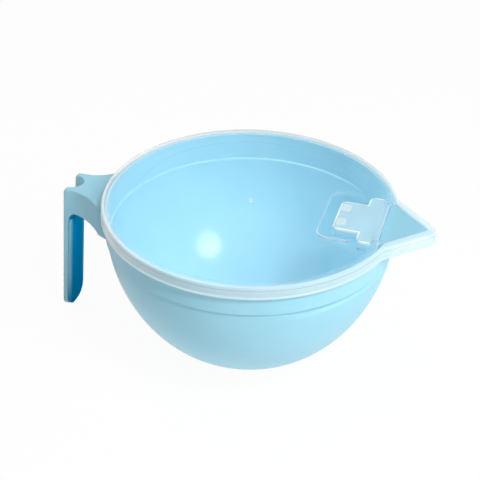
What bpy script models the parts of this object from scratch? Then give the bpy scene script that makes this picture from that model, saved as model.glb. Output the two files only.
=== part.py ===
"""Lidded mixing bowl with a pouring spout and a hook handle, in metres, +Z up.

The origin is the middle of the underside that the bowl stands on. The spout points along +X and
the handle hangs on the -X side. Sizes below are in millimetres and are scaled once by MM.
"""

import math

import bmesh
import bpy
from mathutils import Matrix

MM = 0.001
GAP = 0.3

# Driving sizes of the lid and of the wall that it closes
LID_RADIUS = 80.0
LID_TOP = 96.5
SKIRT_HEIGHT = 7.0
SKIRT_WALL = 1.2
BOWL_WALL = 1.5
PLUG_WALL = 1.0
PLUG_DEPTH = 5.0
LID_TOP_WALL = 1.6
RIM_TOP = LID_TOP - LID_TOP_WALL - GAP

# Insets of each wall from the lid's outline
BOWL_INSET = SKIRT_WALL + GAP
BOWL_INNER_INSET = BOWL_INSET + BOWL_WALL
PLUG_INSET = BOWL_INNER_INSET + GAP
PLUG_INNER_INSET = PLUG_INSET + PLUG_WALL
PANEL_INSET = PLUG_INNER_INSET + GAP

# Spout in plan: two straight edges that meet in a round tip
SPOUT_REACH = 99.6
SPOUT_HALF_ANGLE = math.radians(44.0)
SPOUT_TIP_RADIUS = 5.5
SPOUT_TIP_POINTS = 9
SPOUT_FALL = 4.2
SPOUT_FLOOR_SHARE = 1.8

# Bowl: a rounded wall, a straight band above a small step, and a round foot
BASE_RADIUS = 24.0
BASE_HEIGHT = 7.0
STEP_DROP = 16.6
INNER_STEP_DROP = 18.6
STEP_RISE = 0.7
STEP_WIDTH = 0.8
BOWL_ROUNDNESS = 1.78
FLOOR_WALL = 2.0
FOOT_RADIUS = 26.0
FOOT_WALL = 2.0
FOOT_BOTTOM = 1.8

# Non-slip plug pressed up into the foot, with a flange that the bowl stands on
PLUG_PAD_TOP = 6.3
PLUG_PAD_FLANGE = 1.5
TURN_STEPS = 72
WALL_POINTS = 12

# Handle: a bridge from the bowl and a flat bar that leans outwards as it hangs
HANDLE_TOP = LID_TOP - 9.0
HANDLE_HALF_WIDTH = 9.75
HANDLE_FLARE = 9.25
BAR_WALL = 2.9
BAR_TOP_OUT = 106.0
BAR_LEAN = math.radians(5.0)
BAR_BOTTOM = 3.0
BAR_END_RADIUS = 8.0
ARCH_TOP = LID_TOP - 24.5
ARCH_RADIUS = 5.5
ARCH_ROOT = LID_TOP - 31.5
NOTCH_RADIUS = 6.4
GRIP_WALL = 1.2
GRIP_HALF_WIDTH = 9.4
GRIP_TOP = LID_TOP - 30.0

# Lid panel, with a raised disc and a finger well in front of the spout
PANEL_WALL = 1.0
PANEL_TOP = LID_TOP - 0.7
DISC_RADIUS = 64.0
DISC_WALL = 1.2
LEDGE_WIDTH = 1.5
LEDGE_WALL = 1.1
WELL_NEAR = 41.0
WELL_FAR = 73.4
WELL_HALF_WIDTH = 22.9
WELL_FLOOR = LID_TOP - 6.4
WELL_WALL = 1.1
WELL_CORNER = 5.0
WELL_FAR_CORNER = 6.0
POUR_NEAR = 62.6
POUR_FAR = 67.8
POUR_HALF_WIDTH = 17.5

# Flap: a cross bar with a plug skirt, a finger tab, and a barrel on the hinge pin
HINGE_X = 71.4
HINGE_Z = LID_TOP - 1.7
BARREL_RADIUS = 1.5
PIN_RADIUS = 0.6
PIN_BORE = PIN_RADIUS + GAP
PIN_HALF_LENGTH = 21.0
LUG_NEAR = 1.3
LUG_FAR = 1.4
LUG_INNER = 18.2
LUG_OUTER = 22.6
FLAP_WALL = 1.8
BAR_NEAR = 61.4
BAR_HALF_WIDTH = 22.3
BARREL_HALF_LENGTH = 17.6
TAB_NEAR = 47.4
TAB_HALF_WIDTH = 13.9
TAB_DEPTH = 4.4
TAB_CORNER = 3.0
PLUG_SKIRT_FAR = 68.7
PLUG_SKIRT_BOTTOM = LID_TOP - 5.6
PLUG_SKIRT_WALL = 1.2
PAD_LENGTH = 5.2
PAD_WIDTH = 7.2
PAD_RISE = 0.35
PAD_OFFSET = 7.0

# Colours as linear RGB
SKY_BLUE = (0.42, 0.74, 0.88)
GRIP_BLUE = (0.004, 0.16, 0.34)
MILKY_CLEAR = (0.80, 0.87, 0.90)
CLEAR = (0.90, 0.95, 0.97)


def clear_scene():
    for obj in list(bpy.data.objects):
        bpy.data.objects.remove(obj)


def collection(name, hidden=False):
    made = bpy.data.collections.new(name)
    bpy.context.scene.collection.children.link(made)
    made.hide_render = hidden
    return made


def plastic(name, colour, roughness, alpha=1.0):
    made = bpy.data.materials.new(name)
    made.use_nodes = True
    shader = made.node_tree.nodes["Principled BSDF"]
    shader.inputs["Base Color"].default_value = (*colour, 1.0)
    shader.inputs["Roughness"].default_value = roughness
    shader.inputs["Metallic"].default_value = 0.0
    shader.inputs["Alpha"].default_value = alpha
    made.diffuse_color = (*colour, alpha)
    return made


def as_part(obj, material):
    obj.data.materials.clear()
    obj.data.materials.append(material)
    PARTS.objects.link(obj)
    obj.data.shade_smooth()
    obj.data.set_sharp_from_angle(angle=math.radians(30))
    return obj


def as_cutter(obj):
    CUTTERS.objects.link(obj)
    obj.hide_render = True
    obj.display_type = "WIRE"
    return obj


def mesh_object(name, bm):
    bmesh.ops.remove_doubles(bm, verts=bm.verts, dist=1e-6)
    bmesh.ops.recalc_face_normals(bm, faces=bm.faces)
    mesh = bpy.data.meshes.new(name)
    bm.to_mesh(mesh)
    bm.free()
    return bpy.data.objects.new(name, mesh)


def baked(obj):
    """The object's evaluated shape as a plain mesh object of the same name, welded and closed."""
    name = obj.name
    bpy.context.scene.collection.objects.link(obj)
    bpy.context.view_layer.update()
    graph = bpy.context.evaluated_depsgraph_get()
    mesh = bpy.data.meshes.new_from_object(obj.evaluated_get(graph))
    mesh.transform(obj.matrix_world)
    bpy.data.objects.remove(obj)
    bm = bmesh.new()
    bm.from_mesh(mesh)
    bpy.data.meshes.remove(mesh)
    return mesh_object(name, bm)


def prism(name, outlines, bottom, top, lying=False):
    """Flat outlines in millimetres, extruded from bottom to top. A second outline inside is a hole.

    A lying prism has its outline in the XZ plane and runs along Y.
    """
    curve = bpy.data.curves.new(name, "CURVE")
    curve.dimensions = "2D"
    curve.fill_mode = "BOTH"
    curve.extrude = (top - bottom) / 2 * MM
    for outline in outlines:
        spline = curve.splines.new("POLY")
        spline.points.add(len(outline) - 1)
        spline.use_cyclic_u = True
        for point, (a, b) in zip(spline.points, outline):
            point.co = (a * MM, b * MM, 0.0, 1.0)
    obj = bpy.data.objects.new(name, curve)
    middle = (top + bottom) / 2 * MM
    if lying:
        obj.matrix_world = Matrix.Translation((0, middle, 0)) @ Matrix.Rotation(math.pi / 2, 4, "X")
    else:
        obj.matrix_world = Matrix.Translation((0, 0, middle))
    return baked(obj)


def turned(name, profile, closed_ring=False):
    """A profile of (radius, height) points, outer side first and running down, turned about Z."""
    bm = bmesh.new()
    verts = [bm.verts.new((r * MM, 0.0, z * MM)) for r, z in profile]
    for first, second in zip(verts, verts[1:]):
        bm.edges.new((first, second))
    if closed_ring:
        bm.edges.new((verts[-1], verts[0]))
    mesh = bpy.data.meshes.new(name)
    bm.to_mesh(mesh)
    bm.free()
    obj = bpy.data.objects.new(name, mesh)
    screw = obj.modifiers.new("Turn", "SCREW")
    screw.steps = TURN_STEPS
    screw.render_steps = TURN_STEPS
    screw.use_merge_vertices = True
    screw.merge_threshold = 1e-5
    return baked(obj)


def rod(name, radius, half_length, x, z, sides=24):
    """A round bar along Y through (x, z)."""
    bm = bmesh.new()
    bmesh.ops.create_cone(
        bm, cap_ends=True, segments=sides, radius1=radius * MM, radius2=radius * MM,
        depth=2 * half_length * MM,
    )
    bmesh.ops.rotate(bm, verts=bm.verts, matrix=Matrix.Rotation(math.pi / 2, 3, "X"))
    bmesh.ops.translate(bm, verts=bm.verts, vec=(x * MM, 0, z * MM))
    return mesh_object(name, bm)


def boolean(obj, other, operation):
    modifier = obj.modifiers.new(f"{operation.title()} {other.name}", "BOOLEAN")
    modifier.operation = operation
    modifier.solver = "EXACT"
    modifier.object = other


def cut(obj, other):
    boolean(obj, as_cutter(other), "DIFFERENCE")


def join(obj, other):
    boolean(obj, as_cutter(other), "UNION")


def arc(x, y, radius, start, end, points):
    steps = [start + (end - start) * i / (points - 1) for i in range(points)]
    return [(x + radius * math.cos(a), y + radius * math.sin(a)) for a in steps]


def rounded_box(x0, x1, y0, y1, radius, far_radius=None, points=5):
    """A box in plan with round corners; the two corners at x1 can have a radius of their own."""
    quarter = math.pi / 2
    far = far_radius or radius
    outline = []
    for x, y, r, start in (
        (x1 - far, y1 - far, far, 0),
        (x0 + radius, y1 - radius, radius, quarter),
        (x0 + radius, y0 + radius, radius, 2 * quarter),
        (x1 - far, y0 + far, far, 3 * quarter),
    ):
        outline += arc(x, y, r, start, start + quarter, points)
    return outline


def spout_edges(reach, tip_radius):
    """The round tip of a spout that ends at the given reach, from its -Y side to its +Y side."""
    turn = math.pi / 2 - SPOUT_HALF_ANGLE
    return arc(reach - tip_radius, 0, tip_radius, -turn, turn, SPOUT_TIP_POINTS)


def spout_outline(inset):
    """The lid's spout in plan, from its root on the -Y side round the tip, taken in by the inset."""
    radius = LID_RADIUS - inset
    tip_radius = max(SPOUT_TIP_RADIUS - inset, 0.6)
    lost_tip = max(inset - SPOUT_TIP_RADIUS + tip_radius, 0.0)
    reach = SPOUT_REACH - inset - lost_tip * (1 / math.sin(SPOUT_HALF_ANGLE) - 1)
    apex = reach - tip_radius + tip_radius / math.sin(SPOUT_HALF_ANGLE)
    slope = math.tan(SPOUT_HALF_ANGLE)
    # The straight edge y = (apex - x) * slope meets the circle of this radius
    a = 1 + slope**2
    b = -2 * apex * slope**2
    c = (apex * slope) ** 2 - radius**2
    root_x = (-b + math.sqrt(b * b - 4 * a * c)) / (2 * a)
    root_y = (apex - root_x) * slope
    return [(root_x, -root_y), *spout_edges(reach, tip_radius), (root_x, root_y)]


def lid_outline(inset):
    """The lid's outline in plan, a circle with a spout, taken in by the inset all round."""
    spout = spout_outline(inset)
    root_angle = math.atan2(spout[-1][1], spout[-1][0])
    ring = arc(0, 0, LID_RADIUS - inset, root_angle, 2 * math.pi - root_angle, TURN_STEPS)
    return spout + ring[1:-1]


def bowl_profile(band_radius, top, step_height, base_radius, floor):
    """Straight band, step and rounded wall down to a flat floor, closed on the axis."""
    power = 2 / BOWL_ROUNDNESS
    top_radius = band_radius - STEP_WIDTH
    wall = []
    for i in range(WALL_POINTS + 1):
        turn = math.pi / 2 * i / WALL_POINTS
        radius = base_radius + (top_radius - base_radius) * math.cos(turn) ** power
        height = step_height - (step_height - floor) * math.sin(turn) ** power
        wall.append((radius, height))
    return [(0, top), (band_radius, top), (band_radius, step_height + STEP_RISE), *wall, (0, floor)]


def bowl_outside(top):
    return bowl_profile(LID_RADIUS - BOWL_INSET, top, LID_TOP - STEP_DROP, BASE_RADIUS, BASE_HEIGHT)


def spout_reach_at(height):
    """How far the spout's underside reaches at a height, falling fast from the tip to the wall."""
    drop = max(RIM_TOP - height, 0.0)
    full = SPOUT_REACH - BOWL_INSET
    wall = LID_RADIUS - BOWL_INSET - 4.0
    return wall + (full - wall) * math.exp(-drop / SPOUT_FALL)


def spout_loft(name, heights, inset, steepness):
    """A trough-shaped solid, lofted through one spout outline at each height."""
    root_x = LID_RADIUS - 18.0
    bm = bmesh.new()
    loops = []
    for height in heights:
        reach = spout_reach_at(RIM_TOP - (RIM_TOP - height) * steepness) - inset
        tip_radius = SPOUT_TIP_RADIUS - BOWL_INSET - inset
        tip = spout_edges(reach, tip_radius)
        apex = reach - tip_radius + tip_radius / math.sin(SPOUT_HALF_ANGLE)
        half = (apex - root_x) * math.tan(SPOUT_HALF_ANGLE)
        outline = [(root_x, -half), *tip, (root_x, half)]
        verts = [bm.verts.new((x * MM, y * MM, height * MM)) for x, y in outline]
        loops.append([bm.edges.new((verts[i - 1], verts[i])) for i in range(len(verts))])
    for lower, upper in zip(loops, loops[1:]):
        bmesh.ops.bridge_loops(bm, edges=lower + upper)
    bmesh.ops.holes_fill(bm, edges=loops[0] + loops[-1], sides=0)
    return mesh_object(name, bm)


def bowl_body():
    bowl = turned("bowl_body", bowl_outside(RIM_TOP))
    drops = [19.5, 15.5, 12.1, 9.1, 6.6, 4.6, 3.1, 1.6, 0.0]
    join(bowl, spout_loft("spout_outside", [RIM_TOP - drop for drop in drops], 0.0, 1.0))
    inner_radius = LID_RADIUS - BOWL_INNER_INSET
    inner_step = LID_TOP - INNER_STEP_DROP
    floor = BASE_HEIGHT + FLOOR_WALL
    inside = bowl_profile(inner_radius, RIM_TOP + 6, inner_step, BASE_RADIUS - 1.5, floor)
    foot = [
        (FOOT_RADIUS + 1.0, BASE_HEIGHT + 3), (FOOT_RADIUS, FOOT_BOTTOM),
        (FOOT_RADIUS - FOOT_WALL, FOOT_BOTTOM), (FOOT_RADIUS - FOOT_WALL, BASE_HEIGHT + 0.6),
    ]
    join(bowl, turned("bowl_foot", foot, closed_ring=True))
    cut(bowl, turned("bowl_inside", inside))
    drops = [10.1, 8.1, 6.1, 4.1, 2.6, 1.1, 0.0, -4.0]
    channel = [RIM_TOP - drop for drop in drops]
    cut(bowl, spout_loft("spout_inside", channel, BOWL_WALL, SPOUT_FLOOR_SHARE))
    return as_part(bowl, SKY_PLASTIC)


def base_pad():
    """A soft plug in the foot, whose flange is the flat face that the bowl stands on."""
    stem = FOOT_RADIUS - FOOT_WALL - GAP
    profile = [
        (0, PLUG_PAD_TOP), (stem, PLUG_PAD_TOP), (stem, PLUG_PAD_FLANGE),
        (FOOT_RADIUS - 0.4, PLUG_PAD_FLANGE), (FOOT_RADIUS - 0.8, 0), (0, 0),
    ]
    return as_part(turned("base_pad", profile), GRIP_RUBBER)


def bar_x(height, depth):
    """The X of the handle's bar at a height and at a depth in from its outer face."""
    return -(BAR_TOP_OUT + (HANDLE_TOP - height) * math.tan(BAR_LEAN) - depth)


def handle_side_outline():
    """The handle seen from its side, in X and Z."""
    arch_start = ARCH_TOP - ARCH_RADIUS
    arch_x = bar_x(arch_start, BAR_WALL) + ARCH_RADIUS
    arch = arc(arch_x, arch_start, ARCH_RADIUS, math.pi, math.radians(66), 7)
    return [
        (-60, HANDLE_TOP - 0.6),
        (bar_x(HANDLE_TOP, 1.2), HANDLE_TOP + 0.4),
        (bar_x(HANDLE_TOP - 1.2, 0), HANDLE_TOP - 0.9),
        (bar_x(BAR_BOTTOM + 1.6, 0), BAR_BOTTOM + 1.6),
        (bar_x(BAR_BOTTOM, 1.0), BAR_BOTTOM),
        (bar_x(BAR_BOTTOM, BAR_WALL), BAR_BOTTOM),
        *arch,
        (-84, ARCH_ROOT + 4.5),
        (-60, ARCH_ROOT - 8),
    ]


def handle_plan_outline():
    """The handle seen from above: a slim bar that flares in a curve to the bowl."""
    far, waist, flared, root = -130.0, -102.0, -82.0, -60.0
    curve = []
    for i in range(9):
        x = waist + (flared - waist) * i / 8
        curve.append((x, HANDLE_HALF_WIDTH + HANDLE_FLARE * ((x - waist) / 19) ** 2))
    curve.append((root, curve[-1][1]))
    upper = [(far, HANDLE_HALF_WIDTH), *curve]
    return upper + [(x, -y) for x, y in reversed(upper)]


def bar_front_outline(half_width, bottom, top, wide):
    """The bar seen along X: a tongue with a round lower end, opened wide above the top."""
    r = BAR_END_RADIUS
    left = arc(-half_width + r, bottom + r, r, math.pi, 1.5 * math.pi, 6)
    right = arc(half_width - r, bottom + r, r, 1.5 * math.pi, 2 * math.pi, 6)
    return left + right + [(half_width, top), (wide, top), (wide, top + 60), (-wide, top + 60),
                           (-wide, top), (-half_width, top)]


def thumb_notch():
    """A leaning round cutter that leaves two horns at the top of the bar."""
    bm = bmesh.new()
    bmesh.ops.create_cone(
        bm, cap_ends=True, segments=24, radius1=NOTCH_RADIUS * MM, radius2=NOTCH_RADIUS * MM,
        depth=60 * MM,
    )
    bmesh.ops.rotate(bm, verts=bm.verts, matrix=Matrix.Rotation(math.radians(20), 3, "Y"))
    bmesh.ops.translate(bm, verts=bm.verts, vec=(-(BAR_TOP_OUT - 0.8) * MM, 0, HANDLE_TOP * MM))
    return mesh_object("thumb_notch", bm)


def handle():
    half = 40.0
    obj = prism("handle", [handle_side_outline()], -half, half, lying=True)
    plan = prism("handle_plan", [handle_plan_outline()], -10, LID_TOP + 10)
    boolean(obj, as_cutter(plan), "INTERSECT")
    front = bar_front_outline(HANDLE_HALF_WIDTH + 0.3, BAR_BOTTOM - 0.1, ARCH_ROOT - 18, half)
    tongue = prism("handle_front", [front], 50, 140, lying=True)
    tongue.data.transform(Matrix.Rotation(math.pi / 2, 4, "Z"))
    boolean(obj, as_cutter(tongue), "INTERSECT")
    cut(obj, thumb_notch())
    saddle = [(r + GAP if r else 0, z) for r, z in bowl_outside(LID_TOP + 20)]
    cut(obj, turned("handle_saddle", saddle))
    return as_part(obj, SKY_PLASTIC)


def grip_pad():
    """A thin soft facing on the bar's inner side, with a round lower end."""
    bottom = BAR_BOTTOM + 0.5
    length = (GRIP_TOP - bottom) / math.cos(BAR_LEAN)
    half = GRIP_HALF_WIDTH
    r = BAR_END_RADIUS - 0.4
    outline = [
        *arc(r, half - r, r, math.pi / 2, math.pi, 6), *arc(r, r - half, r, math.pi, 1.5 * math.pi, 6),
        *arc(length - 2, 2 - half, 2, -math.pi / 2, 0, 3), *arc(length - 2, half - 2, 2, 0, math.pi / 2, 3),
    ]
    obj = prism("grip_pad", [outline], -GRIP_WALL, 0)
    upright = Matrix.Rotation(BAR_LEAN - math.pi / 2, 4, "Y")
    place = Matrix.Translation((bar_x(bottom, BAR_WALL + GAP) * MM, 0, bottom * MM))
    obj.data.transform(place @ upright)
    return as_part(obj, GRIP_RUBBER)


def lid_rim():
    rim = prism("lid_rim", [lid_outline(0)], LID_TOP - SKIRT_HEIGHT, LID_TOP)
    channel = [lid_outline(SKIRT_WALL), lid_outline(PLUG_INSET)]
    cut(rim, prism("rim_channel", channel, LID_TOP - SKIRT_HEIGHT - 3, LID_TOP - LID_TOP_WALL))
    middle = [lid_outline(PLUG_INNER_INSET)]
    cut(rim, prism("rim_middle", middle, LID_TOP - SKIRT_HEIGHT - 3, LID_TOP + 3))
    below = [lid_outline(PLUG_INSET - 0.2)]
    cut(rim, prism("below_plug", below, LID_TOP - SKIRT_HEIGHT - 3, LID_TOP - PLUG_DEPTH))
    spout = spout_outline(SKIRT_WALL + 0.05)
    back = [(spout[-1][0] - 14, spout[-1][1]), (spout[0][0] - 14, spout[0][1])]
    cut(rim, prism("spout_relief", [spout + back], LID_TOP - SKIRT_HEIGHT - 3, LID_TOP - LID_TOP_WALL))
    top = PANEL_TOP - PANEL_WALL - GAP
    outer = LID_RADIUS - PLUG_INNER_INSET + PLUG_WALL / 2
    inner = LID_RADIUS - PLUG_INNER_INSET - LEDGE_WIDTH
    around = math.radians(34)
    ledge = arc(0, 0, outer, around, 2 * math.pi - around, TURN_STEPS)
    ledge += arc(0, 0, inner, 2 * math.pi - around, around, TURN_STEPS)
    join(rim, prism("panel_ledge", [ledge], top - LEDGE_WALL, top))
    return as_part(rim, MILKY_PLASTIC)


def lid_panel():
    panel = prism("lid_panel", [lid_outline(PANEL_INSET)], PANEL_TOP - PANEL_WALL, PANEL_TOP)
    disc = arc(0, 0, DISC_RADIUS, 0, 2 * math.pi * (1 - 1 / TURN_STEPS), TURN_STEPS)
    join(panel, prism("raised_disc", [disc], LID_TOP - DISC_WALL, LID_TOP))
    walls = rounded_box(
        WELL_NEAR - WELL_WALL, WELL_FAR + WELL_WALL,
        -WELL_HALF_WIDTH - WELL_WALL, WELL_HALF_WIDTH + WELL_WALL,
        WELL_CORNER + WELL_WALL, WELL_FAR_CORNER + WELL_WALL,
    )
    join(panel, prism("well_walls", [walls], WELL_FLOOR - WELL_WALL, PANEL_TOP - PANEL_WALL / 3))
    well = rounded_box(
        WELL_NEAR, WELL_FAR, -WELL_HALF_WIDTH, WELL_HALF_WIDTH, WELL_CORNER, WELL_FAR_CORNER
    )
    cut(panel, prism("well_hollow", [well], WELL_FLOOR, LID_TOP + 3))
    for side in (-1, 1):
        lug = [
            (HINGE_X - LUG_NEAR, side * LUG_INNER),
            (HINGE_X + LUG_FAR, side * LUG_INNER),
            (HINGE_X + LUG_FAR, side * (LUG_OUTER - 1.5)),
            (HINGE_X + 0.2, side * LUG_OUTER),
            (HINGE_X - LUG_NEAR, side * LUG_OUTER),
        ]
        name = "hinge_lug_left" if side > 0 else "hinge_lug_right"
        join(panel, prism(name, [lug], WELL_FLOOR - WELL_WALL / 2, LID_TOP - 0.1))
    pour = rounded_box(POUR_NEAR, POUR_FAR, -POUR_HALF_WIDTH, POUR_HALF_WIDTH, 2.0)
    cut(panel, prism("pour_opening", [pour], WELL_FLOOR - 4, WELL_FLOOR + 1))
    cut(panel, rod("pin_sockets", PIN_BORE, PIN_HALF_LENGTH + GAP, HINGE_X, HINGE_Z))
    return as_part(panel, CLEAR_PLASTIC)


def flap_outline():
    """The flap's T in plan, from the hinge to the round corners of the finger tab."""
    r = TAB_CORNER
    half = [
        (HINGE_X + 0.4, BARREL_HALF_LENGTH - 0.3),
        (HINGE_X - 2.1, BARREL_HALF_LENGTH - 0.3),
        *arc(HINGE_X - 3.6, BAR_HALF_WIDTH - 1.5, 1.5, 0, math.pi / 2, 4),
        *arc(BAR_NEAR + r, BAR_HALF_WIDTH - r, r, math.pi / 2, math.pi, 4),
        (BAR_NEAR, TAB_HALF_WIDTH),
        *arc(TAB_NEAR + r, TAB_HALF_WIDTH - r, r, math.pi / 2, math.pi, 4),
    ]
    return half + [(x, -y) for x, y in reversed(half)]


def spout_flap():
    flap = prism("spout_flap", [flap_outline()], LID_TOP - FLAP_WALL, LID_TOP)
    half = BAR_HALF_WIDTH - 0.2
    outer = rounded_box(BAR_NEAR + 0.2, PLUG_SKIRT_FAR, -half, half, 2.4, 4.0)
    wall = PLUG_SKIRT_WALL
    inner = rounded_box(
        BAR_NEAR + 0.2 + wall, PLUG_SKIRT_FAR - wall, wall - half, half - wall, 2.4 - wall, 4.0 - wall,
    )
    join(flap, prism("plug_skirt", [outer], PLUG_SKIRT_BOTTOM, LID_TOP - FLAP_WALL / 2))
    cut(flap, prism("plug_hollow", [inner], PLUG_SKIRT_BOTTOM - 2, LID_TOP - FLAP_WALL + 0.2))
    join(flap, rod("hinge_barrel", BARREL_RADIUS, BARREL_HALF_LENGTH, HINGE_X, HINGE_Z))
    half = TAB_HALF_WIDTH - 0.2
    tab = rounded_box(TAB_NEAR + 0.2, BAR_NEAR + 0.9, -half, half, 2.4)
    join(flap, prism("tab_skirt", [tab], LID_TOP - TAB_DEPTH, LID_TOP - FLAP_WALL / 3))
    hollow = rounded_box(TAB_NEAR + 1.4, BAR_NEAR - 0.5, 1.2 - half, half - 1.2, 1.2)
    cut(flap, prism("tab_hollow", [hollow], LID_TOP - TAB_DEPTH - 2, LID_TOP - FLAP_WALL + 0.1))
    for side in (-1, 1):
        y = side * PAD_OFFSET
        pad = rounded_box(
            TAB_NEAR + 1.0, TAB_NEAR + 1.0 + PAD_LENGTH, y - PAD_WIDTH / 2, y + PAD_WIDTH / 2, 1.6,
        )
        name = "finger_pad_left" if side > 0 else "finger_pad_right"
        join(flap, prism(name, [pad], LID_TOP - FLAP_WALL / 2, LID_TOP + PAD_RISE))
    cut(flap, rod("pin_bore", PIN_BORE, BAR_HALF_WIDTH + 3, HINGE_X, HINGE_Z))
    return as_part(flap, MILKY_PLASTIC)


def hinge_pin():
    return as_part(rod("hinge_pin", PIN_RADIUS, PIN_HALF_LENGTH, HINGE_X, HINGE_Z), MILKY_PLASTIC)


clear_scene()
PARTS = collection("lidded_mixing_bowl")
CUTTERS = collection("cutters", hidden=True)
SKY_PLASTIC = plastic("sky_blue_plastic", SKY_BLUE, 0.32)
GRIP_RUBBER = plastic("deep_blue_rubber", GRIP_BLUE, 0.55)
MILKY_PLASTIC = plastic("milky_plastic", MILKY_CLEAR, 0.30, 0.6)
CLEAR_PLASTIC = plastic("clear_plastic", CLEAR, 0.08, 0.2)
bowl_body()
base_pad()
handle()
grip_pad()
lid_rim()
lid_panel()
hinge_pin()
spout_flap()
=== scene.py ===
import math

import bmesh
import bpy
from mathutils import Matrix, Vector


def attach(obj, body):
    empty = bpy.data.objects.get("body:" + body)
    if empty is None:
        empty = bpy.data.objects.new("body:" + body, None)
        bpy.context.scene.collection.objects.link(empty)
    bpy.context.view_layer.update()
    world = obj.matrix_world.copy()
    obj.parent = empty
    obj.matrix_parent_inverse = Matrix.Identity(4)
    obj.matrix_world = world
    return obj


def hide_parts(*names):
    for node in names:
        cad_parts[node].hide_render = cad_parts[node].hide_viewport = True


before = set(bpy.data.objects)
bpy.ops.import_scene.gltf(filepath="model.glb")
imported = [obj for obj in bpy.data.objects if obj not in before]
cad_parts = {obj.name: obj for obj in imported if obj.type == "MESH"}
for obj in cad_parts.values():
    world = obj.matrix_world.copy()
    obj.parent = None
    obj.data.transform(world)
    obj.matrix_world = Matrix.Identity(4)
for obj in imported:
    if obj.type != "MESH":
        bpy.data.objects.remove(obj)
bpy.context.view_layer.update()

# The bowl is one moulding of pale blue plastic: a rounded wall, a straight band above a small step,
# a shallow pouring spout drawn out of the rim and a short foot. The wall is about 1.5 mm thick,
# glossy inside and satin outside, with the faint ripple of the mould. Its inside is painted a lighter
# blue than its outside, as painted light on the one plastic.


class Field:
    """A shader value with ordinary arithmetic; each operation adds one node to the tree."""

    def __init__(self, tree, socket):
        self.tree = tree
        self.socket = socket

    def node(self, kind, output=0, **settings):
        """Any other node: properties by name, sockets by index as _0, _1 and so on."""
        made = self.tree.nodes.new(kind)
        links = {}
        for key, value in settings.items():
            if key.startswith("_"):
                links[int(key[1:])] = value
            else:
                setattr(made, key, value)
        for index, value in links.items():
            if isinstance(value, Field):
                self.tree.links.new(value.socket, made.inputs[index])
            else:
                made.inputs[index].default_value = value
        return Field(self.tree, made.outputs[output])

    def math(self, operation, other=0.0):
        return self.node("ShaderNodeMath", operation=operation, _0=self, _1=other)

    def swapped(self, operation, other):
        return self.node("ShaderNodeMath", operation=operation, _0=other, _1=self)

    def __add__(self, other):
        return self.math("ADD", other)

    def __radd__(self, other):
        return self.swapped("ADD", other)

    def __sub__(self, other):
        return self.math("SUBTRACT", other)

    def __rsub__(self, other):
        return self.swapped("SUBTRACT", other)

    def __mul__(self, other):
        return self.math("MULTIPLY", other)

    def __rmul__(self, other):
        return self.swapped("MULTIPLY", other)

    def step(self, low, high):
        """0 below low, 1 above high and a smooth rise between them."""
        return self.node(
            "ShaderNodeMapRange", interpolation_type="SMOOTHSTEP", _0=self, _1=low, _2=high, _3=0.0, _4=1.0
        )

    def below(self, low, high):
        """1 below low, 0 above high and a smooth fall between them."""
        return 1.0 - self.step(low, high)

    def mix(self, dark, light):
        """A colour between two colours."""
        made = self.node("ShaderNodeMix", output=2, data_type="RGBA", _0=self)
        for index, colour in ((6, dark), (7, light)):
            socket = made.socket.node.inputs[index]
            if isinstance(colour, Field):
                self.tree.links.new(colour.socket, socket)
            else:
                socket.default_value = (*colour, 1.0)
        return made

    def feed(self, shader, name):
        self.tree.links.new(self.socket, shader.inputs[name])


def plastic(name):
    """An empty Principled material with its shader and the object coordinates point, x, y and z."""
    made = bpy.data.materials.new(name)
    made.use_nodes = True
    tree = made.node_tree
    shader = tree.nodes["Principled BSDF"]
    coordinates = tree.nodes.new("ShaderNodeTexCoord")
    point = Field(tree, coordinates.outputs["Object"])
    axes = tree.nodes.new("ShaderNodeSeparateXYZ")
    tree.links.new(point.socket, axes.inputs[0])
    x, y, z = (Field(tree, axes.outputs[i]) for i in range(3))
    return made, shader, point, x, y, z


def facing_out(x, y):
    """1 where a round wall faces away from the Z axis and 0 where it faces the axis."""
    coordinates = x.tree.nodes.new("ShaderNodeTexCoord")
    axes = x.tree.nodes.new("ShaderNodeSeparateXYZ")
    x.tree.links.new(coordinates.outputs["Normal"], axes.inputs[0])
    turned = Field(x.tree, axes.outputs[0]) * x + Field(x.tree, axes.outputs[1]) * y
    blend = 0.001
    return turned.step(-blend, blend)


def noise(point, scale, detail=2.0):
    return point.node("ShaderNodeTexNoise", _0=point, _2=scale, _3=detail)


def bumped(shader, height, strength):
    """Gives the surface a shallow relief."""
    relief = 0.0002
    bump = height.node("ShaderNodeBump", _0=strength, _1=relief, _3=height)
    bump.feed(shader, "Normal")


MERGE_DISTANCE = 1e-6


def piece(name, bm, material):
    """A finished mesh object at the origin, closed and facing out, shaded smooth between sharp edges."""
    sharp_angle = math.radians(42)
    bmesh.ops.remove_doubles(bm, verts=bm.verts, dist=MERGE_DISTANCE)
    bmesh.ops.recalc_face_normals(bm, faces=bm.faces)
    mesh = bpy.data.meshes.new(name)
    bm.to_mesh(mesh)
    bm.free()
    mesh.shade_smooth()
    mesh.set_sharp_from_angle(angle=sharp_angle)
    made = bpy.data.objects.new(name, mesh)
    bpy.context.scene.collection.objects.link(made)
    mesh.materials.append(material)
    return made


def spun(profile, closed):
    """A (radius, height) profile turned a full circle about Z, starting on +X."""
    bm = bmesh.new()
    verts = [bm.verts.new((r, 0.0, z)) for r, z in profile]
    edges = [bm.edges.new(pair) for pair in zip(verts, verts[1:])]
    if closed:
        edges.append(bm.edges.new((verts[-1], verts[0])))
    bmesh.ops.spin(
        bm, geom=verts + edges, cent=(0, 0, 0), axis=(0, 0, 1), angle=2 * math.pi, steps=288, use_merge=True
    )
    return bm


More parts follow.
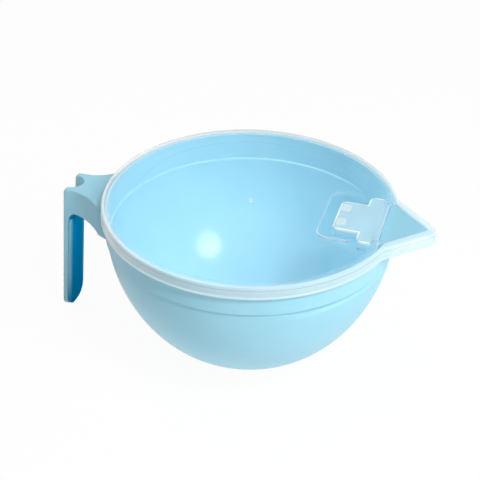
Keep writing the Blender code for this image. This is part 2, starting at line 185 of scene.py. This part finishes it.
def rounded_wall(top_radius, top, base_radius, floor):
    """The (radius, height) points of a wall that curves from its top down into the floor."""
    count = 48
    roundness = 1.78
    power = 2 / roundness
    made = []
    for i in range(count + 1):
        turn = math.pi / 2 * i / count
        radius = base_radius + (top_radius - base_radius) * math.cos(turn) ** power
        height = top - (top - floor) * math.sin(turn) ** power
        made.append((radius, height))
    return made


SPOUT_SLOPE = math.radians(44)
SPOUT_SPAN = math.radians(60)


def spout_radius(angle, reach, tip):
    """How far out a round-tipped spout reaches in the direction of an angle from its middle."""
    angle = abs(angle)
    if angle > SPOUT_SPAN:
        return 0.0
    centre = reach - tip
    apex = centre + tip / math.sin(SPOUT_SLOPE)
    slope = math.tan(SPOUT_SLOPE)
    straight = apex * slope / (math.sin(angle) + slope * math.cos(angle))
    across = centre * math.sin(angle)
    if across < tip:
        return min(straight, centre * math.cos(angle) + math.sqrt(tip * tip - across * across))
    return straight


def moved_to_radius(vert, radius):
    """Moves a vertex straight out from the Z axis, or in to it, until it is at a radius."""
    scale = radius / math.hypot(vert.co.x, vert.co.y)
    vert.co.x *= scale
    vert.co.y *= scale


LID_TOP = 0.0965
rim_top = LID_TOP - 0.0019
band_outside = 0.0785
wall_thickness = 0.0015
band_inside = band_outside - wall_thickness
wall_middle = band_outside - wall_thickness / 2
edge_height = 0.0006
band_top = rim_top - edge_height
row_height = 0.0005
outer_rows = 31
inner_rows = 30
outer_band = [(band_outside, band_top - row_height * i) for i in range(outer_rows)]
inner_band = [(band_inside, band_top - row_height * i) for i in range(inner_rows)]
rim_edge = []
for degrees in (-80, -50, -20, 0, 20, 50, 80):
    turn = math.radians(degrees)
    radius = wall_middle + wall_thickness / 2 * math.sin(turn)
    rim_edge.append((radius, band_top + edge_height * math.cos(turn)))

outer_step = LID_TOP - 0.0166
outer_wall_radius = 0.0777
inner_step = LID_TOP - 0.0186
inner_wall_radius = 0.0759
inner_wall_top = inner_step - 0.0002
ledge_top = inner_step + 0.0005
ledge = [
    (band_inside - 0.0002, ledge_top),
    (band_inside - 0.0004, inner_step + 0.0004),
    (inner_wall_radius + 0.0003, inner_step + 0.0003),
    (inner_wall_radius + 0.0001, inner_step + 0.0001),
]

floor_top = 0.0090
floor_radius = 0.0225
floor_underside = 0.0066
outer_wall_base = 0.0070
foot_outside = 0.0260
foot_inside = 0.0240
foot_base = 0.0018
foot_rounding = 0.0003
foot_flare = 0.0002
foot_root = 0.0275
foot = [
    (foot_outside + foot_flare, floor_underside + foot_flare),
    (foot_outside, foot_base + foot_rounding),
    (foot_outside - foot_rounding, foot_base),
    (foot_inside + foot_rounding, foot_base),
    (foot_inside, foot_base + foot_rounding),
    (foot_inside, floor_underside),
]
inner_wall = rounded_wall(inner_wall_radius, inner_wall_top, floor_radius, floor_top)
outer_wall = rounded_wall(outer_wall_radius, outer_step, foot_inside, outer_wall_base)
outer_wall = [(r, h) for r, h in outer_wall if r > foot_root]
inner_side = [*inner_band, *ledge, *inner_wall, (0.0, floor_top)]
outer_side = [*rim_edge, *outer_band, *outer_wall, *foot, (0.0, floor_underside)]
bm = spun([*reversed(inner_side), *outer_side], closed=False)

spout_zone_radius = 0.070
spout_zone_base = rim_top - 0.020
spout_root = 0.0745
spout_length = 0.0236
spout_depth = 0.0042
spout_tip = 0.0040
inner_steepness = 1.8
edge_base = rim_top - 2 * edge_height
step_fade_start = math.radians(62)
step_fade_span = math.radians(16)
lean_top = LID_TOP - 0.0055
for vert in bm.verts:
    radius = math.hypot(vert.co.x, vert.co.y)
    if radius < spout_zone_radius or vert.co.z < spout_zone_base:
        continue
    angle = math.atan2(vert.co.y, vert.co.x)
    inner = radius < wall_middle
    if inner and radius > inner_wall_radius and vert.co.z < lean_top:
        # Near the spout the inner band leans in to meet the wall, so the step fades out.
        fade = min(max((step_fade_start - abs(angle)) / step_fade_span, 0.0), 1.0)
        depth = min((lean_top - vert.co.z) / (lean_top - ledge_top), 1.0)
        leaning = band_inside - (band_inside - inner_wall_radius) * depth
        radius += (min(leaning, radius) - radius) * fade
        moved_to_radius(vert, radius)
    drop = max(rim_top - vert.co.z, 0.0) * (inner_steepness if inner else 1.0)
    reach = spout_root + spout_length * math.exp(-drop / spout_depth)
    if vert.co.z > edge_base:
        inset = band_outside - radius
    else:
        inset = wall_thickness if inner else 0.0
    drawn = spout_radius(angle, reach - inset, spout_tip - inset)
    if drawn > radius:
        moved_to_radius(vert, drawn)

# The inside blue is lighter than the outside blue of the same plastic: painted light.
inside_blue_painted_lighter = ((0.442, 0.804, 0.955), (0.462, 0.819, 0.960))
outside_blue = ((0.355, 0.735, 0.895), (0.380, 0.755, 0.910))
bowl_plastic, shader, point, x, y, z = plastic("bowl_plastic")
mottle = noise(point, scale=38.0, detail=3.0)
ripple = noise(point, scale=900.0)
patches = mottle.step(0.3, 0.7)
outer_face = facing_out(x, y)
# Inside and outside get different blues; the lighter inside is painted light.
outer_face.mix(patches.mix(*inside_blue_painted_lighter), patches.mix(*outside_blue)).feed(shader, "Base Color")
(mottle * 0.06 + 0.14 + outer_face * 0.20).feed(shader, "Roughness")
bumped(shader, ripple, strength=0.04)
shader.inputs["Specular IOR Level"].default_value = 0.5
bowl = piece("bowl", bm, bowl_plastic)
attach(bowl, "bowl")
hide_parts("bowl_body")

# The foot holds a plug of soft deep-blue rubber whose flange is the non-slip face under the bowl.
# It is moulded with a matt skin and pressed into the foot.


def refinished(node, material):
    """A CAD node that keeps its mesh and gets a new material."""
    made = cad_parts[node]
    made.data.materials.clear()
    made.data.materials.append(material)
    return made


base_blue = ((0.004, 0.125, 0.235), (0.006, 0.155, 0.275))
rubber, shader, point, x, y, z = plastic("base_rubber")
grain = noise(point, scale=1500.0)
grain.step(0.35, 0.65).mix(*base_blue).feed(shader, "Base Color")
(grain * 0.15 + 0.50).feed(shader, "Roughness")
bumped(shader, grain, strength=0.12)
pad = refinished("base_pad", rubber)

# The handle is moulded in the same pale blue plastic: a bridge from the bowl's band, two horns round
# a thumb notch and a flat bar that hangs down. Every edge is softly rounded. It is painted a darker
# blue than the bowl's outside, as painted shade.


def softened(name, node, voxel, smooth, material):
    """A copy of a CAD node with its edges rounded: an even skin over it, relaxed a little."""
    source = bmesh.new()
    source.from_mesh(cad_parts[node].data)
    bmesh.ops.remove_doubles(source, verts=source.verts, dist=MERGE_DISTANCE)
    made = piece(name, source, material)
    skin = made.modifiers.new("Skin", "REMESH")
    skin.mode = "VOXEL"
    skin.voxel_size = voxel
    skin.use_smooth_shade = True
    relax = made.modifiers.new("Relax", "SMOOTH")
    relax.factor = 0.5
    relax.iterations = smooth
    return made


# A darker blue than the bowl's outside, though the plastic is the same: painted shade.
handle_blue_painted_darker = ((0.325, 0.660, 0.800), (0.355, 0.690, 0.825))
handle_plastic, shader, point, x, y, z = plastic("handle_plastic")
mottle = noise(point, scale=60.0, detail=3.0)
ripple = noise(point, scale=1100.0)
mottle.step(0.3, 0.7).mix(*handle_blue_painted_darker).feed(shader, "Base Color")
(mottle * 0.12 + 0.30).feed(shader, "Roughness")
bumped(shader, ripple, strength=0.05)
handle = softened("handle_shell", "handle", voxel=0.00045, smooth=6, material=handle_plastic)
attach(handle, "bowl")
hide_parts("handle")

# A thin facing of deep-blue soft rubber covers the inner side of the handle's bar.
# It has a fine matt grain and rounded edges; it is darker towards the bottom and paler at both sides,
# except near its lower end.
grip_blue = ((0.001, 0.31, 0.58), (0.001, 0.41, 0.79))
grip_edge_blue = (0.25, 0.60, 0.76)
grip_height = (0.0, 0.075)
pale_side_range = (0.0062, 0.0090)
pale_side_height = (0.004, 0.030)
grip_rubber, shader, point, x, y, z = plastic("grip_rubber")
grain = noise(point, scale=1300.0)
pale_sides = y.math("ABSOLUTE").step(*pale_side_range) * z.step(*pale_side_height)
pale_sides.mix(z.step(*grip_height).mix(*grip_blue), grip_edge_blue).feed(shader, "Base Color")
(grain * 0.15 + 0.42).feed(shader, "Roughness")
bumped(shader, grain, strength=0.10)
shader.inputs["Specular IOR Level"].default_value = 0.0
grip = softened("grip_facing", "grip_pad", voxel=0.0003, smooth=3, material=grip_rubber)
swell = grip.modifiers.new("Swell", "DISPLACE")
swell.strength = 0.0003
swell.mid_level = 0.0
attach(grip, "bowl")
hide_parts("grip_pad")

# The lid's rim is a milky, see-through ring of soft plastic: a flat top, a skirt outside the bowl's
# band that ends in a small bead, and a pointed hood over the spout. Its edges are rounded and it is
# whiter at the bead. Towards the handle it is painted whiter and less clear, as painted light, and
# the whole ring has a faint painted glow.


def rounded_profile(corners):
    """A closed (radius, height) profile from corners given as (radius, height, rounding)."""
    steps = 4
    longest_cut = 0.49
    made = []
    for i, (*corner, rounding) in enumerate(corners):
        here = Vector(corner)
        before = Vector(corners[i - 1][:2]) - here
        after = Vector(corners[(i + 1) % len(corners)][:2]) - here
        cut = min(rounding, before.length * longest_cut, after.length * longest_cut)
        start = here + before.normalized() * cut
        end = here + after.normalized() * cut
        for k in range(steps + 1):
            t = k / steps
            made.append(tuple(start * (1 - t) ** 2 + here * (2 * t * (1 - t)) + end * t**2))
    return made


lid_radius = 0.0800
ring_inside = 0.0757
ring_underside = LID_TOP - 0.0016
skirt_inside = 0.0788
skirt_base = LID_TOP - 0.0070
bead_radius = 0.0804
bead_root = LID_TOP - 0.0057
bead_top = LID_TOP - 0.0062
bm = spun(
    rounded_profile([
        (ring_inside, LID_TOP, 0.0004),
        (lid_radius, LID_TOP, 0.0012),
        (lid_radius, bead_root, 0.0003),
        (bead_radius, bead_top, 0.0003),
        (bead_radius, skirt_base, 0.0004),
        (skirt_inside, skirt_base, 0.0004),
        (skirt_inside, ring_underside, 0.0005),
        (ring_inside, ring_underside, 0.0004),
    ]),
    closed=True,
)

# The hood: each wall of the ring is drawn out over the spout, at its own distance from the outline.
hood_reach = 0.0996
hood_tip = 0.0055
sharpest_tip = 0.0006
for vert in bm.verts:
    radius = math.hypot(vert.co.x, vert.co.y)
    angle = math.atan2(vert.co.y, vert.co.x)
    inset = lid_radius - radius
    tip = max(hood_tip - inset, sharpest_tip)
    lost = max(inset - hood_tip + tip, 0.0)
    reach = hood_reach - inset - lost * (1 / math.sin(SPOUT_SLOPE) - 1)
    drawn = spout_radius(angle, reach, tip)
    if drawn > radius:
        moved_to_radius(vert, drawn)

ring_milky = ((0.64, 0.83, 0.89), (0.70, 0.87, 0.91))
painted_light_white = (0.93, 0.95, 0.96)
skirt_side = (0.0778, skirt_inside)
crease_height = LID_TOP - 0.0021
crease_line = (0.0001, 0.0005)
lip_height = (LID_TOP - 0.0066, LID_TOP - 0.0060)
painted_light_side_range = (-lid_radius, -0.015)
rim_plastic, shader, point, x, y, z = plastic("rim_plastic")
cloud = noise(point, scale=55.0, detail=3.0)
ripple = noise(point, scale=700.0)
outer = (x * x + y * y).math("SQRT").step(*skirt_side)
crease = (z - crease_height).math("ABSOLUTE").below(*crease_line)
lip = z.below(*lip_height)
# Whiter and less clear towards the handle: painted light on the side away from the lamps.
handle_side_painted_light = x.below(*painted_light_side_range)
handle_side_painted_light.mix(cloud.step(0.2, 0.8).mix(*ring_milky), painted_light_white).feed(shader, "Base Color")
haze = cloud * 0.06 + 0.05
skirt = 0.46 - crease * 0.16 + lip * 0.28 + handle_side_painted_light * 0.22
(haze + outer * skirt).feed(shader, "Alpha")
# A faint painted glow over the whole ring, in place of the light the milky plastic passes on.
shader.inputs["Emission Color"].default_value = (0.85, 0.95, 1.0, 1.0)
shader.inputs["Emission Strength"].default_value = 0.08
(cloud * 0.10 + 0.18).feed(shader, "Roughness")
bumped(shader, ripple, strength=0.03)
rim = piece("lid_rim_ring", bm, rim_plastic)
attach(rim, "lid")
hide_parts("lid_rim")

# Inside the rim a thin plug wall of the same milky plastic hangs down into the bowl and centres the
# lid. It is moulded with the rim and stops short at both sides of the spout.
plug_outside = 0.0767
plug_top = LID_TOP - 0.0019
plug_base = LID_TOP - 0.0050
plug_start = math.radians(21)
bm = bmesh.new()
section = [
    (ring_inside, plug_top),
    (plug_outside, plug_top),
    (plug_outside, plug_base),
    (ring_inside, plug_base),
]
end_face = bm.faces.new([bm.verts.new((r, 0.0, h)) for r, h in section])
bmesh.ops.rotate(bm, verts=bm.verts, matrix=Matrix.Rotation(plug_start, 3, "Z"))
bmesh.ops.spin(
    bm,
    geom=[end_face],
    cent=(0, 0, 0),
    axis=(0, 0, 1),
    angle=2 * math.pi - 2 * plug_start,
    steps=240,
    use_duplicate=True,
)
plug_milky = ((0.80, 0.93, 0.97), (0.86, 0.96, 0.98))
hem_height = (LID_TOP - 0.0048, LID_TOP - 0.0043)
plug_plastic, shader, point, x, y, z = plastic("plug_plastic")
cloud = noise(point, scale=80.0)
cloud.step(0.2, 0.8).mix(*plug_milky).feed(shader, "Base Color")
(cloud * 0.03 + 0.05 + z.below(*hem_height) * 0.14).feed(shader, "Alpha")
(cloud * 0.10 + 0.15).feed(shader, "Roughness")
plug = piece("lid_plug", bm, plug_plastic)
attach(plug, "lid")

# The lid's panel is a clear, glossy moulding with a raised middle, a tongue over the spout and a
# finger well pressed down round the flap. The gate mark in its middle is a fine pale mark. A faint ring
# line round the middle and the top edge of the well carry painted highlights, stronger on the well's
# -Y side, and the tongue is painted a half-opaque blue, as painted shade over the spout below it.
panel_clear = ((0.78, 0.90, 0.95), (0.86, 0.95, 0.98))
panel_white = (1.0, 1.0, 1.0)
spout_painted_shade_blue = (0.35, 0.70, 0.84)
tongue_front = (0.0729, 0.0733)
ridge_radius = 0.0640
ridge_highlight_width = (0.0, 0.0007)
gate_size = (0.0006, 0.0013)
well_middle = 0.0572
well_half_length = 0.0112
well_half_width = 0.0179
well_rounding = 0.0050
well_highlight_width = (0.0003, 0.0008)
well_height = (LID_TOP - 0.0022, LID_TOP - 0.0014)
highlight_fade_side = (-0.020, -0.013)
well_end = (0.056, 0.060)
lug_side = (0.0176, 0.0180)
lug_front = (0.0697, 0.0700)
lug_back = (0.0729, 0.0731)
lug_height = (LID_TOP - 0.0022, LID_TOP - 0.0016)
panel_plastic, shader, point, x, y, z = plastic("panel_plastic")
swirl = noise(point, scale=30.0, detail=3.0)
from_centre = (x * x + y * y).math("SQRT")
across = y.math("ABSOLUTE")
# A painted highlight line along the ring at ridge_radius.
ridge_highlight = (from_centre - ridge_radius).math("ABSOLUTE").below(*ridge_highlight_width)
gate_mark = from_centre.below(*gate_size) * 0.36
past_length = (x - well_middle).math("ABSOLUTE") - well_half_length
past_width = across - well_half_width
corner_x = past_length.math("MAXIMUM", 0.0).math("POWER", 2.0)
corner_y = past_width.math("MAXIMUM", 0.0).math("POWER", 2.0)
from_straight = past_length.math("MAXIMUM", past_width).math("MINIMUM", 0.0)
from_well = from_straight + (corner_x + corner_y).math("SQRT") - well_rounding
# Painted highlights along the top edge of the well, stronger on the -Y side than elsewhere.
well_edge_highlight = from_well.math("ABSOLUTE").below(*well_highlight_width) * z.step(*well_height)
well_edge_highlight = well_edge_highlight * (0.56 - y.step(*highlight_fade_side) * 0.38) * x.below(*well_end)
highlights_and_gate = well_edge_highlight.math("MAXIMUM", gate_mark)
lugs = across.step(*lug_side) * x.step(*lug_front) * x.below(*lug_back) * z.step(*lug_height)
# The tongue is painted a half-opaque blue: painted shade that dims the spout below and stands for its
# colour.
tongue = x.step(*tongue_front)
pale = (highlights_and_gate.step(0.05, 0.4) + lugs).mix(swirl.step(0.2, 0.8).mix(*panel_clear), panel_white)
tongue.mix(pale, spout_painted_shade_blue).feed(shader, "Base Color")
haze = ridge_highlight * 0.01 + swirl * 0.01 + 0.015
(haze + highlights_and_gate + lugs * 0.10 + tongue * 0.46).feed(shader, "Alpha")
(swirl * 0.05 + 0.06).feed(shader, "Roughness")
panel = refinished("lid_panel", panel_plastic)

# The flap is a T of milky plastic that turns on a pin beside the spout: a finger tab with two small
# pads, a cross bar with a skirt that plugs the pouring hole, and a barrel round the pin.
flap_milky = (0.57, 0.78, 0.84)
flap_white = (0.98, 1.0, 1.0)
pad_grey = (0.78, 0.83, 0.81)
tab_half_width = 0.0139
tab_end = 0.0474
bar_half_width = 0.0223
bar_end = 0.0614
border_line = (-0.0013, -0.0004)
plate_height = (LID_TOP - 0.0019, LID_TOP - 0.0014)
skirt_height = (LID_TOP - 0.0042, LID_TOP - 0.0037)
pad_height = (LID_TOP + 0.0001, LID_TOP + 0.0003)
barrel_front = (0.0718, 0.0724)
flap_plastic, shader, point, x, y, z = plastic("flap_plastic")
cloud = noise(point, scale=90.0, detail=3.0)
ripple = noise(point, scale=900.0)
across = y.math("ABSOLUTE")
past_tab = (across - tab_half_width).math("MAXIMUM", tab_end - x)
past_bar = (across - bar_half_width).math("MAXIMUM", bar_end - x)
border = past_tab.math("MINIMUM", past_bar).step(*border_line)
plate = z.step(*plate_height)
skirt_edge = z.below(*skirt_height)
barrel = x.step(*barrel_front)
pads = z.step(*pad_height)
pads.mix((border * plate).mix(flap_milky, flap_white), pad_grey).feed(shader, "Base Color")
haze = cloud * 0.02 + 0.01
sheet = plate * (0.41 - barrel * 0.06)
edges = border * (plate * 0.34 + skirt_edge * 0.34 + 0.07)
(haze + sheet + pads * 0.09 + edges).feed(shader, "Alpha")
(cloud * 0.10 + 0.15).feed(shader, "Roughness")
bumped(shader, ripple, strength=0.03)
flap = softened("flap_shell", "spout_flap", voxel=0.00028, smooth=3, material=flap_plastic)
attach(flap, "flap")
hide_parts("spout_flap")

# The flap's pin is a thin rod of see-through plastic that runs through the flap's barrel.
# It is held at both ends by the lugs of the panel.
pin_milky = ((0.72, 0.83, 0.88), (0.78, 0.88, 0.92))
pin_plastic, shader, point, x, y, z = plastic("pin_plastic")
streak = noise(point, scale=400.0)
streak.step(0.3, 0.7).mix(*pin_milky).feed(shader, "Base Color")
(streak * 0.06 + 0.08).feed(shader, "Alpha")
(streak * 0.10 + 0.20).feed(shader, "Roughness")
pin = refinished("hinge_pin", pin_plastic)

# The bowl stands on a matt white table top. It shows as plain white, with a small share of its own
# shading left, so that the bowl keeps its shadow.


def background_rays(tree):
    """1 for the rays that should see plain white: from the camera, in a reflection or through glass."""
    rays = tree.nodes.new("ShaderNodeLightPath")
    camera, glossy, through = (
        Field(tree, rays.outputs[name]) for name in ("Is Camera Ray", "Is Glossy Ray", "Is Transmission Ray")
    )
    return camera.math("MAXIMUM", glossy).math("MAXIMUM", through)


table_half_size = 1.2
table_gap = 0.0002
white_share = 0.96
bm = bmesh.new()
bmesh.ops.create_grid(bm, x_segments=1, y_segments=1, size=table_half_size)
bmesh.ops.translate(bm, verts=bm.verts, vec=(0, 0, -table_gap))
table = bpy.data.materials.new("table_white")
table.use_nodes = True
tree = table.node_tree
shader = tree.nodes["Principled BSDF"]
shader.inputs["Base Color"].default_value = (0.97, 0.97, 0.97, 1.0)
shader.inputs["Roughness"].default_value = 0.9
glow = tree.nodes.new("ShaderNodeEmission")
seen = background_rays(tree) * white_share
blend = seen.node("ShaderNodeMixShader", _0=seen)
tree.links.new(shader.outputs[0], blend.socket.node.inputs[1])
tree.links.new(glow.outputs[0], blend.socket.node.inputs[2])
tree.links.new(blend.socket, tree.nodes["Material Output"].inputs["Surface"])
floor = piece("table_top", bm, table)

# The studio is a white surround that lights the bowl softly, more from the spout's side than from the
# handle's. Round lamps stand over it, and a narrow one lights the inside of the bowl under the flap.
dome_level = 0.28
dome_slant = 0.20
world = bpy.data.worlds.new("studio")
bpy.context.scene.world = world
world.use_nodes = True
tree = world.node_tree
dome = tree.nodes["Background"]
dome.inputs["Color"].default_value = (1.0, 1.0, 1.0, 1.0)
direction = tree.nodes.new("ShaderNodeTexCoord")
axes = tree.nodes.new("ShaderNodeSeparateXYZ")
tree.links.new(direction.outputs["Generated"], axes.inputs[0])
level = Field(tree, axes.outputs[0]) * dome_slant + dome_level
seen = background_rays(tree)
(seen + (1.0 - seen) * level).feed(dome, "Strength")


def softbox(name, place, aim, size, power, reflected=False, spread=math.pi):
    """A round area lamp that points from its place to its aim."""
    light = bpy.data.lights.new(name, "AREA")
    light.shape = "DISK"
    light.size = size
    light.energy = power
    light.spread = spread
    made = bpy.data.objects.new(name, light)
    made.location = place
    made.rotation_euler = (Vector(place) - Vector(aim)).to_track_quat("Z", "Y").to_euler()
    made.visible_glossy = reflected
    bpy.context.scene.collection.objects.link(made)


bowl_middle = (0, 0, 0.05)
inside_by_flap = (0.072, 0.012, 0.080)
softbox("key_light", (0.61, -0.25, 0.60), bowl_middle, size=0.34, power=2.58, reflected=True)
softbox("high_light", (0.38, -0.38, 0.80), bowl_middle, size=0.15, power=2.88)
softbox("top_light", (-0.28, 0.05, 0.85), bowl_middle, size=0.45, power=1.3)
softbox("inside_light", (-0.45, 0.02, 0.36), inside_by_flap, size=0.06, power=0.010, spread=math.radians(14))

# The camera stands where the photograph was taken, a little tilted. The lid stacks many clear layers,
# so rays may pass through more of them than usual before they stop.
azimuth = math.radians(16.0)
elevation = math.radians(34.16)
tilt = math.radians(1.25)
distance = 0.560
target = Vector((-0.00505, -0.00145, LID_TOP - 0.0269))
camera = bpy.data.cameras.new("camera")
camera.sensor_width = 36.0
camera.lens = 76.05
camera.clip_start = 0.01
eye = bpy.data.objects.new("camera", camera)
bpy.context.scene.collection.objects.link(eye)
flat = math.cos(elevation)
back = Vector((math.sin(azimuth) * flat, -math.cos(azimuth) * flat, math.sin(elevation)))
eye.location = target + back * distance
facing = back.to_track_quat("Z", "Y").to_matrix().to_4x4()
eye.rotation_euler = (facing @ Matrix.Rotation(tilt, 4, "Z")).to_euler()
bpy.context.scene.camera = eye
bpy.context.scene.view_settings.view_transform = "Standard"
bpy.context.scene.cycles.transparent_max_bounces = 32
